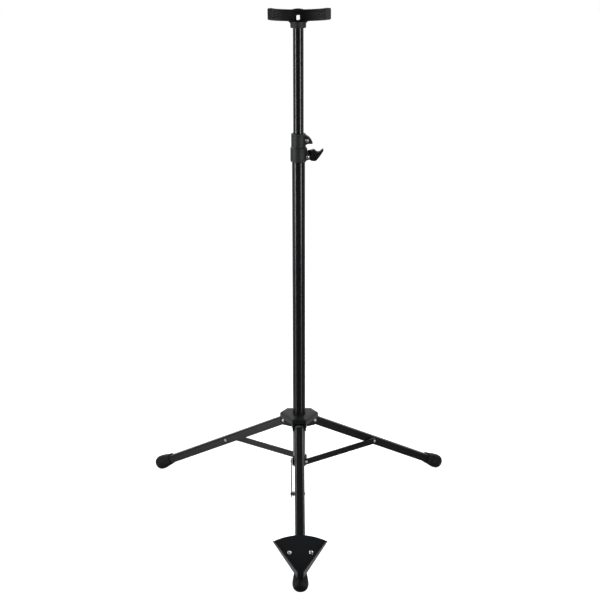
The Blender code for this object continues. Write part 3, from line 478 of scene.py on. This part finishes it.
def softened(shape, width, segments=2, sharp=28.0, keep=None):
    """Rounds over the sharp edges; keep(edge) can pick which ones."""
    bmesh.ops.dissolve_limit(
        shape, angle_limit=math.radians(FLAT_ANGLE), verts=shape.verts, edges=shape.edges, delimit={"NORMAL"}
    )
    limit = math.radians(sharp)
    chosen = [e for e in shape.edges if len(e.link_faces) == 2 and e.calc_face_angle(0.0) > limit]
    if keep is not None:
        chosen = [e for e in chosen if keep(e)]
    bmesh.ops.bevel(
        shape,
        geom=chosen,
        offset=width,
        offset_type="OFFSET",
        segments=segments,
        profile=0.5,
        affect="EDGES",
        clamp_overlap=True,
    )
    return shape


def local_points(node, matrix):
    back = matrix.inverted()
    return [back @ vertex.co for vertex in NODES[node].data.vertices]


def local_box(node, matrix):
    points = local_points(node, matrix)
    low = Vector([min(p[axis] for p in points) for axis in range(3)])
    high = Vector([max(p[axis] for p in points) for axis in range(3)])
    return low, high


# ---------------------------------------------------------------- frames


def leg_frame(name):
    """A leg's own frame: +X outwards along it, +Z up, origin on its pivot."""
    pivot = Vector(JOINTS[f"{name}_leg_fold"]["pos_m"])
    rivet = Vector(JOINTS[f"{name}_brace_fold"]["pos_m"])
    outwards = Vector((pivot.x - MAST.x, pivot.y - MAST.y, 0.0)).normalized()
    across = Vector((0.0, 0.0, 1.0)).cross(outwards)
    along = rivet - pivot
    along = (along - along.dot(across) * across).normalized()
    turn = Matrix((along, across, along.cross(across))).transposed().to_4x4()
    return Matrix.Translation(pivot) @ turn


def shifted(matrix, x=0.0, y=0.0, z=0.0):
    return matrix @ Matrix.Translation((x, y, z))


AXIS = Matrix.Translation(MAST)
LEG_FRAMES = {name: leg_frame(name) for name in LEGS}


# ---------------------------------------------------------------- mast and clutch


def tube_body(node, chamfer=0.0004):
    """A drawn tube with softly broken ends."""
    low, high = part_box(node)
    outer = (high[0] - low[0]) / 2.0
    inner = outer - TUBE_WALL
    profile = [
        (inner + chamfer * 0.5, low[2]),
        (outer - chamfer, low[2]),
        (outer - chamfer * 0.3, low[2] + chamfer * 0.3),
        (outer, low[2] + chamfer),
        (outer, high[2] - chamfer),
        (outer - chamfer * 0.3, high[2] - chamfer * 0.3),
        (outer - chamfer, high[2]),
        (inner + chamfer * 0.5, high[2]),
        (inner, high[2] - chamfer * 0.5),
        (inner, low[2] + chamfer * 0.5),
    ]
    place(node + "_body", moved(turned(profile, 128), AXIS), node)


def facing_front(x, y, z):
    """A frame at a point whose +Z looks to the front."""
    return Matrix.Translation((x, y, z)) @ Matrix.Rotation(math.radians(90.0), 4, "X")


SCREW_FACETS = 1.04  # widens the CAD head's inscribed facets to its full round
SCREW_UNDERSIDE = 0.97  # the head's underside against its rim
SCREW_RIM = 0.16  # share of the head's rise that stands straight before the dome starts
SCREW_CHAMFER = 0.0003
SCREW_SLOT_WIDTH = 0.26  # of the head's radius
SCREW_SLOT_DEPTH = 0.55  # of the head's rise
SCREW_CROSS_REACH = 0.60  # of the head's radius
SCREW_SLOT_REACH = 1.2  # of the head's radius, so that a slot runs out at both sides
SCREW_OVERCUT = 0.001
SCREW_TURN = math.radians(38.0)


def screw_body(node, matrix, slotted=False):
    """A domed screw along the frame's Z axis, its head towards +Z, with a cross or a slot in it."""
    low, high = local_box(node, matrix)
    head = (high.x - low.x) / 2.0 * SCREW_FACETS
    seat = min(p.z for p in local_points(node, matrix) if math.hypot(p.x, p.y) > head * 0.9)
    shank = head * 0.5
    rise = high.z - seat
    profile = [
        (0.0, low.z),
        (shank - SCREW_CHAMFER, low.z),
        (shank, low.z + SCREW_CHAMFER),
        (shank, seat),
        (head * SCREW_UNDERSIDE, seat),
    ]
    for degrees in (0, 10, 22, 34, 46, 58, 70, 80, 90):
        angle = math.radians(degrees)
        dome = SCREW_RIM + (1.0 - SCREW_RIM) * math.sin(angle)
        profile.append((head * math.cos(angle), seat + rise * dome))
    shape = turned(profile, 48)
    width = head * SCREW_SLOT_WIDTH
    depth = rise * SCREW_SLOT_DEPTH
    reach = head * (SCREW_SLOT_REACH if slotted else SCREW_CROSS_REACH)
    floor, top = high.z - depth, high.z + SCREW_OVERCUT
    bar = block((-reach, -width / 2.0, floor), (reach, width / 2.0, top))
    if not slotted:
        other = block((-width / 2.0, -reach, floor), (width / 2.0, reach, top))
        bar = combined(bar, "UNION", other)
    shape = combined(shape, "DIFFERENCE", moved(bar, Matrix.Rotation(SCREW_TURN, 4, "Z")))
    place(node + "_body", moved(shape, matrix), node, SCREW_FINISH)


def front_screw(node, slotted=False):
    low, high = (Vector(corner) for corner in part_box(node))
    middle = (low + high) / 2.0
    screw_body(node, facing_front(middle.x, low.y, middle.z), slotted)


LEVER_EASE = 0.0005
GRIP_GROOVES = 5
GRIP_START = (0.0128, 0.0098)  # along X and up from the lever's low corner
GRIP_STEP = (0.0030, 0.0007)  # from one groove to the next
GRIP_RADIUS = 0.0008
GRIP_DEPTH = 0.0004  # the groove's middle stands this far outside the side
GRIP_HALF_LENGTH = 0.0080
GRIP_LEAN = math.radians(-42.0)


def lever_body():
    """The clutch lever: softened edges, and a ribbed grip on both of its sides."""
    node = "clutch_lever"
    low, high = (Vector(corner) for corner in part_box(node))
    shape = softened(plain(node), LEVER_EASE, 3)
    lean = Matrix.Rotation(GRIP_LEAN, 4, "Y")
    for side, face in ((-1.0, low.y), (1.0, high.y)):
        for step in range(GRIP_GROOVES):
            along = low.x + GRIP_START[0] + GRIP_STEP[0] * step
            up = low.z + GRIP_START[1] + GRIP_STEP[1] * step
            middle = Matrix.Translation((along, face + side * GRIP_DEPTH, up))
            groove = moved(rod(GRIP_RADIUS, GRIP_HALF_LENGTH, 16), middle @ lean)
            shape = combined(shape, "DIFFERENCE", groove)
    place("clutch_lever_body", shape, node)


tube_body("lower_tube")
tube_body("upper_tube")
front_screw("lever_pivot_screw")
front_screw("horn_screw", slotted=True)
lever_body()


# ---------------------------------------------------------------- yoke


PAD_MARGIN = 0.0008  # the lining stays this far inside the band's top and bottom
PAD_CHAMFER = 0.0005
PAD_BEAD = 0.0007  # how far the border's bead stands proud, and its width
PAD_BEAD_INSET = 0.0011
PAD_CORNER = 0.0008
PAD_RIBS = 7
PAD_RIB_HEIGHT = 0.00022
PAD_RIB_INSET = 0.0024  # the ribs stop this far from the border
PAD_END_ANGLE = 0.008  # radians that the lining stays short of the band's lips
PAD_END_EDGE = 0.0008
PAD_END_SHRINK = 0.0006
PAD_END_TAPER = 0.0100  # a larger value keeps more of the lining's height at its ends
PAD_END_BEAD_INSET = 0.0016


def pad_section():
    """The lining's section as (radius, height): beaded borders and fine ribs on its gripping face."""
    outer = YOKE_INNER_RADIUS - GAP
    inner = outer - YOKE_PAD_THICKNESS
    half = (YOKE_BAND_TOP - YOKE_BAND_BOTTOM) / 2.0 - PAD_MARGIN
    section = [
        (outer - PAD_CHAMFER, -half),
        (outer, -half + PAD_CHAMFER),
        (outer, half - PAD_CHAMFER),
        (outer - PAD_CHAMFER, half),
    ]
    steps = 60
    for step in range(steps + 1):
        height = half * (1.0 - 2.0 * step / steps)
        edge = half - abs(height)
        bead = PAD_BEAD * math.exp(-(((edge - PAD_BEAD_INSET) / PAD_BEAD) ** 2))
        corner = PAD_CORNER * max(0.0, 1.0 - edge / PAD_BEAD)
        rib = 0.0
        if edge > PAD_RIB_INSET:
            rib = PAD_RIB_HEIGHT * math.cos(math.tau * PAD_RIBS * height / (2.0 * half))
        section.append((inner - bead + corner - rib, height))
    return section


def pad_body():
    """The yoke's rubber lining, bent round the crescent, leaned and turned as the yoke is."""
    section = pad_section()
    middle = (YOKE_BAND_BOTTOM + YOKE_BAND_TOP) / 2.0
    half_angle = YOKE_HALF_ANGLE - YOKE_LIP_ANGLE - PAD_END_ANGLE
    thick = YOKE_INNER_RADIUS - GAP - YOKE_PAD_THICKNESS / 2.0
    rings = []
    steps = 110
    for step in range(steps + 1):
        angle = half_angle * (2.0 * step / steps - 1.0)
        edge = (half_angle - abs(angle)) * thick
        shrink = PAD_END_SHRINK * max(0.0, 1.0 - edge / PAD_END_EDGE)
        bead = PAD_BEAD * math.exp(-(((edge - PAD_END_BEAD_INSET) / PAD_END_EDGE) ** 2))
        ring = []
        for radius, height in section:
            inwards = 1.0 if radius < thick else 0.0
            spread = radius + (shrink - bead) * inwards
            tall = height * (1.0 - shrink / PAD_END_TAPER)
            ring.append((spread * math.sin(angle), spread * math.cos(angle), tall))
        rings.append(ring)
    shape = loft(rings)
    centre = Matrix.Translation((0.0, YOKE_BACK - YOKE_OUTER_RADIUS, 0.0))
    lean = Matrix.Rotation(-YOKE_TILT, 4, "X")
    shape = moved(shape, Matrix.Translation((0.0, 0.0, middle)) @ lean @ centre)
    half = YOKE_SLOT_WIDTH / 2.0
    slot = softened(
        block((-half, -YOKE_SLOT_REACH, YOKE_SLOT_BOTTOM), (half, YOKE_SLOT_REACH, YOKE_SLOT_TOP)),
        YOKE_SLOT_CORNER,
        4,
        keep=lambda edge: abs(edge.verts[0].co.y - edge.verts[1].co.y) > YOKE_SLOT_REACH,
    )
    shape = combined(shape, "DIFFERENCE", slot)
    turn = Matrix.Rotation(YOKE_TURN, 4, "Z")
    place("yoke_pad_body", moved(shape, AXIS @ turn), "yoke_pad", smooth=50.0)


pad_body()


# ---------------------------------------------------------------- legs


def leg_body(name):
    """A bent steel channel: rounded shoulders outside and in, its nose and web cut round the pivot."""
    node = f"leg_{name}"
    frame_of = LEG_FRAMES[name]
    low, high = local_box(node, frame_of)
    width, height = high.y, high.z
    outer, wall = LEG_SHOULDER, LEG_WALL
    inner = outer - wall
    profile = [(-width, -height)] + arc((-width + outer, height - outer), outer, 180.0, 90.0, 7)
    profile += arc((width - outer, height - outer), outer, 90.0, 0.0, 7) + [(width, -height)]
    profile += [(width - wall, -height)] + arc((width - outer, height - outer), inner, 0.0, 90.0, 5)
    profile += arc((-width + outer, height - outer), inner, 90.0, 180.0, 5) + [(-width + wall, -height)]
    shape = loft([[(x, y, z) for y, z in profile] for x in (low.x, high.x)])
    nose = arc((0.0, 0.0), height, 90.0, 270.0, 24)
    past = high.x + OVERCUT
    side = prism(nose + [(past, -height), (past, height)], -width - OVERCUT, width + OVERCUT)
    shape = combined(shape, "INTERSECT", side)
    web_cut = block((low.x - OVERCUT, -width + wall, -THROUGH), (LEG_WEB_START, width - wall, THROUGH))
    tools = [web_cut]
    holes = [(0.0, HUB_RIVET_RADIUS), (BRACE_REACH, RIVET_RADIUS)]
    if name == "front":
        holes.append((local_middle("tray_mount_pin", frame_of).x, RIVET_RADIUS))
    for reach, radius in holes:
        tools.append(along_y(rod(radius + GAP, THROUGH, 32), reach))
    shape = combined(shape, "DIFFERENCE", *tools)
    shape = softened(shape, FINE_EASE, 2, 40.0)
    place(node + "_body", moved(shape, frame_of), node)


def local_middle(node, matrix):
    low, high = local_box(node, matrix)
    return (low + high) / 2.0


BOOT_EASE = 0.0002  # keeps the rounder bulb inside the CAD model's facets
BOOT_SWELL_START = 0.22  # share of the neck's length before it starts to widen
BOOT_DEPTH_POWER = 1.7  # how late the neck deepens
BOOT_LIP = 0.0004  # how far the mouth's very edge is drawn in
BOOT_BEAD = 0.00045
BOOT_BEAD_PLACE = 0.12  # share of the neck's length
BOOT_MOUTH_POWER = 4.5  # squareness of the mouth; 2 is round


def boot_body(name):
    """A rubber boot: a squarish lipped mouth, swelling to a ball with a small worn sole."""
    node = f"boot_{name}"
    frame_of = LEG_FRAMES[name]
    low, high = local_box(node, frame_of)
    bulb = high.y
    centre = high.x - bulb
    bulb -= BOOT_EASE
    mouth = low.x
    neck_y, neck_z = BOOT_NECK
    rings = []
    steps = 26
    for step in range(steps + 1):
        share = step / steps
        swell = max(0.0, min(1.0, (share - BOOT_SWELL_START) / (1.0 - BOOT_SWELL_START)))
        swell = swell * swell * (3.0 - 2.0 * swell)
        lip = BOOT_LIP * max(0.0, 1.0 - share * steps / 1.5)
        bead = BOOT_BEAD * math.exp(-(((share - BOOT_BEAD_PLACE) * steps / 1.4) ** 2))
        half_y = neck_y + (bulb - neck_y) * swell - lip + bead
        deep = math.sin(math.radians(90.0 * share)) ** BOOT_DEPTH_POWER
        half_z = neck_z + (bulb - neck_z) * deep - lip + bead
        power = BOOT_MOUTH_POWER + (2.0 - BOOT_MOUTH_POWER) * swell
        rings.append(squircle(mouth + (centre - mouth) * share, half_y, half_z, power))
    for step in range(1, 20):
        angle = math.radians(90.0 * step / 20.0)
        along = math.sin(angle) ** (2.0 / BOOT_END_POWER)
        radius = bulb * math.cos(angle) ** (2.0 / BOOT_END_POWER)
        rings.append(squircle(centre + bulb * along, radius, radius, 2.0))
    rings.append([(centre + bulb, 0.0, 0.0)])
    shape = loft(rings)
    pocket_y, pocket_z = (value / 2.0 + GAP for value in LEG_SECTION)
    pocket = block((mouth - THROUGH, -pocket_y, -pocket_z), (LEG_LENGTH + GAP, pocket_y, pocket_z))
    level = frame_of.to_3x3().inverted()
    down = level @ Vector((0.0, 0.0, -1.0))
    ground = frame_of.inverted() @ Vector((0.0, 0.0, 0.0))
    ball = Vector((centre, 0.0, 0.0))
    reach = 3.0 * THROUGH
    below = block((-reach, -reach, -reach), (reach, reach, 0.0))
    below = moved(below, Matrix.Translation(down * down.dot(ground)) @ level.to_4x4())
    below = moved(below, Matrix.Translation(ball - down * down.dot(ball)))
    shape = combined(shape, "DIFFERENCE", pocket, below)
    place(node + "_body", moved(shape, frame_of), node)


def squircle(x, half_y, half_z, power, segments=56):
    ring = []
    for step in range(segments):
        angle = math.tau * step / segments
        y = math.copysign(abs(math.cos(angle)) ** (2.0 / power), math.cos(angle)) * half_y
        z = math.copysign(abs(math.sin(angle)) ** (2.0 / power), math.sin(angle)) * half_z
        ring.append((x, y, z))
    return ring


SAME_PLACE = 2e-5  # the CAD pin's radii and heights closer than this are the same
PIN_TINY = 1e-4  # radii and head heights up to this are passed over
PIN_CHAMFER = 0.0002


def pin_body(node, matrix):
    """A turned rivet along the frame's Y axis, with domed heads where the CAD one has them."""
    pairs = {(round(math.hypot(p.x, p.z), 5), round(p.y, 5)) for p in local_points(node, matrix)}
    widest = max(radius for radius, _ in pairs)
    seats = sorted({y for radius, y in pairs if radius > widest - SAME_PLACE})
    at_seats = [radius for radius, y in pairs if any(abs(y - seat) < SAME_PLACE for seat in seats)]
    shank = min(radius for radius in at_seats if radius > PIN_TINY)
    low, high = min(y for _, y in pairs), max(y for _, y in pairs)
    profile = [(0.0, low)]
    steps = 8
    if seats[0] - low > PIN_TINY:
        for step in range(1, steps + 1):
            angle = math.radians(90.0 * step / steps)
            profile.append((widest * math.sin(angle), seats[0] - (seats[0] - low) * math.cos(angle)))
        profile.append((shank, seats[0]))
    else:
        profile.append((shank, low))
    if high - seats[-1] > PIN_TINY and seats[-1] > seats[0]:
        profile.append((shank, seats[-1]))
        for step in range(steps, 0, -1):
            angle = math.radians(90.0 * step / steps)
            profile.append((widest * math.sin(angle), seats[-1] + (high - seats[-1]) * math.cos(angle)))
    else:
        profile += [(shank, high - PIN_CHAMFER), (shank - PIN_CHAMFER, high)]
    profile.append((0.0, high))
    shape = turned(profile, 40)
    lay = Matrix.Rotation(math.radians(-90.0), 4, "X")
    place(node + "_body", moved(shape, matrix @ lay), node)


for name in LEGS:
    leg_body(name)
    boot_body(name)
    leg = LEG_FRAMES[name]
    pin_body(f"brace_rivet_{name}", shifted(leg, BRACE_REACH))
    middle = local_middle(f"collar_rivet_{name}", leg)
    pin_body(f"collar_rivet_{name}", shifted(leg, middle.x, 0.0, middle.z))
    pin_body(f"hub_rivet_{name}", leg)
for side in ("left", "right"):
    node = f"tray_screw_{side}"
    middle = local_middle(node, LEG_FRAMES["front"])
    screw_body(node, shifted(LEG_FRAMES["front"], middle.x, middle.y))
pin = local_middle("tray_mount_pin", LEG_FRAMES["front"])
pin_body("tray_mount_pin", shifted(LEG_FRAMES["front"], pin.x, 0.0, pin.z))


# ---------------------------------------------------------------- the other pieces

EASE = {  # how far each piece's edges are rounded over
    "brace_front": 0.00045,
    "brace_right": 0.00045,
    "brace_left": 0.00045,
    "hub": 0.0009,
    "yoke": 0.0008,
    "clutch_body": 0.0007,
    "lower_collar": 0.0006,
    "instrument_tray": 0.0006,
    "tray_mount": 0.0006,
    "hub_lock_knob": 0.0007,
}
for node in sorted(set(NODES) - STOOD_FOR):
    shape = softened(plain(node), EASE.get(node, FINE_EASE), 3)
    place(node + "_body", shape, node, HUB_FINISH if node == "hub" else None)


# ---------------------------------------------------------------- stage, light and camera


FLOOR_REACH = 14.0
FLOOR_GREY = 0.6


def add_floor():
    """A pale floor that shows white to the camera and stays out of the paint's reflections."""
    reach = FLOOR_REACH
    floor_mesh = bpy.data.meshes.new("floor")
    floor_mesh.from_pydata(
        [(-reach, -reach, 0.0), (reach, -reach, 0.0), (reach, reach, 0.0), (-reach, reach, 0.0)],
        [],
        [(0, 1, 2, 3)],
    )
    material = bpy.data.materials.new("pale_floor")
    material.use_nodes = True
    nodes, links = material.node_tree.nodes, material.node_tree.links
    shader = nodes["Principled BSDF"]
    shader.inputs["Base Color"].default_value = (FLOOR_GREY, FLOOR_GREY, FLOOR_GREY, 1.0)
    shader.inputs["Roughness"].default_value = 0.9
    shader.inputs["Specular IOR Level"].default_value = 0.0
    shader.inputs["Emission Color"].default_value = (1.0, 1.0, 1.0, 1.0)
    path = nodes.new("ShaderNodeLightPath")
    links.new(path.outputs["Is Camera Ray"], shader.inputs["Emission Strength"])
    floor_mesh.materials.append(material)
    floor = bpy.data.objects.new("floor", floor_mesh)
    bpy.context.scene.collection.objects.link(floor)
    floor.visible_glossy = False
    floor.visible_shadow = False


BACKDROP_LEVEL = 0.90  # the low backdrop behind the stand, as the paint reflects it
DIM_LEVEL = 0.03  # everywhere else
BEHIND_BAND = (-0.1, 0.8)  # the view direction's Y over which the backdrop comes in
HEIGHT_BAND = (0.15, 0.50)  # its Z over which the backdrop fades out upwards


def add_world():
    """White to the camera; to everything else a dark studio with a lit backdrop low down behind."""
    world = bpy.data.worlds.new("studio")
    world.use_nodes = True
    bpy.context.scene.world = world
    nodes, links = world.node_tree.nodes, world.node_tree.links
    output = nodes["World Output"]
    seen = nodes["Background"]
    seen.inputs["Color"].default_value = (1.0, 1.0, 1.0, 1.0)
    seen.inputs["Strength"].default_value = 1.0
    lit = nodes.new("ShaderNodeBackground")
    where = nodes.new("ShaderNodeTexCoord")
    split = nodes.new("ShaderNodeSeparateXYZ")
    links.new(where.outputs["Generated"], split.inputs[0])

    def eased_range(source, low, high, value_low, value_high):
        node = nodes.new("ShaderNodeMapRange")
        node.interpolation_type = "SMOOTHSTEP"
        node.inputs["From Min"].default_value = low
        node.inputs["From Max"].default_value = high
        node.inputs["To Min"].default_value = value_low
        node.inputs["To Max"].default_value = value_high
        links.new(source, node.inputs["Value"])
        return node.outputs["Result"]

    behind = eased_range(split.outputs["Y"], *BEHIND_BAND, 0.0, 1.0)
    low_down = eased_range(split.outputs["Z"], *HEIGHT_BAND, 1.0, 0.0)
    backdrop = nodes.new("ShaderNodeMath")
    backdrop.operation = "MULTIPLY"
    links.new(behind, backdrop.inputs[0])
    links.new(low_down, backdrop.inputs[1])
    level = nodes.new("ShaderNodeMath")
    level.operation = "MULTIPLY_ADD"
    links.new(backdrop.outputs[0], level.inputs[0])
    level.inputs[1].default_value = BACKDROP_LEVEL
    level.inputs[2].default_value = DIM_LEVEL
    links.new(level.outputs[0], lit.inputs["Strength"])
    path = nodes.new("ShaderNodeLightPath")
    mix = nodes.new("ShaderNodeMixShader")
    links.new(path.outputs["Is Camera Ray"], mix.inputs[0])
    links.new(lit.outputs[0], mix.inputs[1])
    links.new(seen.outputs[0], mix.inputs[2])
    links.new(mix.outputs[0], output.inputs["Surface"])


def add_softbox(name, azimuth, distance, height, width, tall, power, aim):
    """A rectangular light; azimuth 0 is in front of the stand and 90 is to its right."""
    angle = math.radians(azimuth)
    spot = Vector((math.sin(angle) * distance, MAST.y - math.cos(angle) * distance, height))
    light = bpy.data.lights.new(name, "AREA")
    light.shape = "RECTANGLE"
    light.size = width
    light.size_y = tall
    light.energy = power
    lamp = bpy.data.objects.new(name, light)
    lamp.location = spot
    lamp.rotation_mode = "QUATERNION"
    lamp.rotation_quaternion = (Vector((0.0, MAST.y, aim)) - spot).to_track_quat("-Z", "Y")
    lamp.visible_camera = False
    bpy.context.scene.collection.objects.link(lamp)


def add_lights():
    """Two tall strips draw the lines on the tubes, and their fills carry the lines down to the hub."""
    left = {"azimuth": -62.0, "distance": 2.4, "width": 0.55}
    right = {"azimuth": 46.0, "distance": 2.6, "width": 0.40}
    add_softbox("left_softbox", height=0.80, tall=1.9, power=32.0, aim=0.45, **left)
    add_softbox("left_fill", height=-0.62, tall=0.95, power=3.6, aim=-0.62, **left)
    add_softbox("right_softbox", height=0.80, tall=1.9, power=29.0, aim=0.45, **right)
    add_softbox("right_fill", height=-0.66, tall=1.05, power=3.2, aim=-0.66, **right)
    add_softbox("back_softbox", 180.0, 2.6, height=1.9, width=3.0, tall=0.9, power=16.0, aim=0.4)
    upper = {"distance": 1.5, "height": 1.95, "width": 0.8, "tall": 1.0, "power": 14.0, "aim": 0.25}
    add_softbox("upper_left", -119.0, **upper)
    add_softbox("upper_right", 119.0, **upper)
    rear = {"distance": 2.1, "height": -1.2, "width": 0.9, "tall": 0.7, "power": 8.0, "aim": 0.05}
    add_softbox("rear_left_fill", -116.0, **rear)
    add_softbox("rear_right_fill", 116.0, **rear)


CAMERA_PITCH = math.radians(17.23)  # looking down
CAMERA_YAW = math.radians(0.326)
CAMERA_ROLL = math.radians(-0.12)
CAMERA_LENS = 73.13
CAMERA_PLACE = (-0.0107, -2.2703, 1.1409)  # from the foot of the mast


def add_camera():
    pitch, yaw, roll = CAMERA_PITCH, CAMERA_YAW, CAMERA_ROLL
    forward = Vector((math.sin(yaw) * math.cos(pitch), math.cos(yaw) * math.cos(pitch), -math.sin(pitch)))
    level = Vector((math.cos(yaw), -math.sin(yaw), 0.0))
    above = level.cross(forward)
    right = math.cos(roll) * level + math.sin(roll) * above
    up = math.cos(roll) * above - math.sin(roll) * level
    camera_data = bpy.data.cameras.new("camera")
    camera_data.sensor_width = 36.0
    camera_data.lens = CAMERA_LENS
    camera_data.clip_start = 0.05
    camera_data.clip_end = 60.0
    camera = bpy.data.objects.new("camera", camera_data)
    turn = Matrix((right, up, -forward)).transposed().to_4x4()
    camera.matrix_world = Matrix.Translation(MAST + Vector(CAMERA_PLACE)) @ turn
    bpy.context.scene.collection.objects.link(camera)
    bpy.context.scene.camera = camera


add_floor()
add_world()
add_lights()
add_camera()
bpy.context.scene.view_settings.view_transform = "Standard"
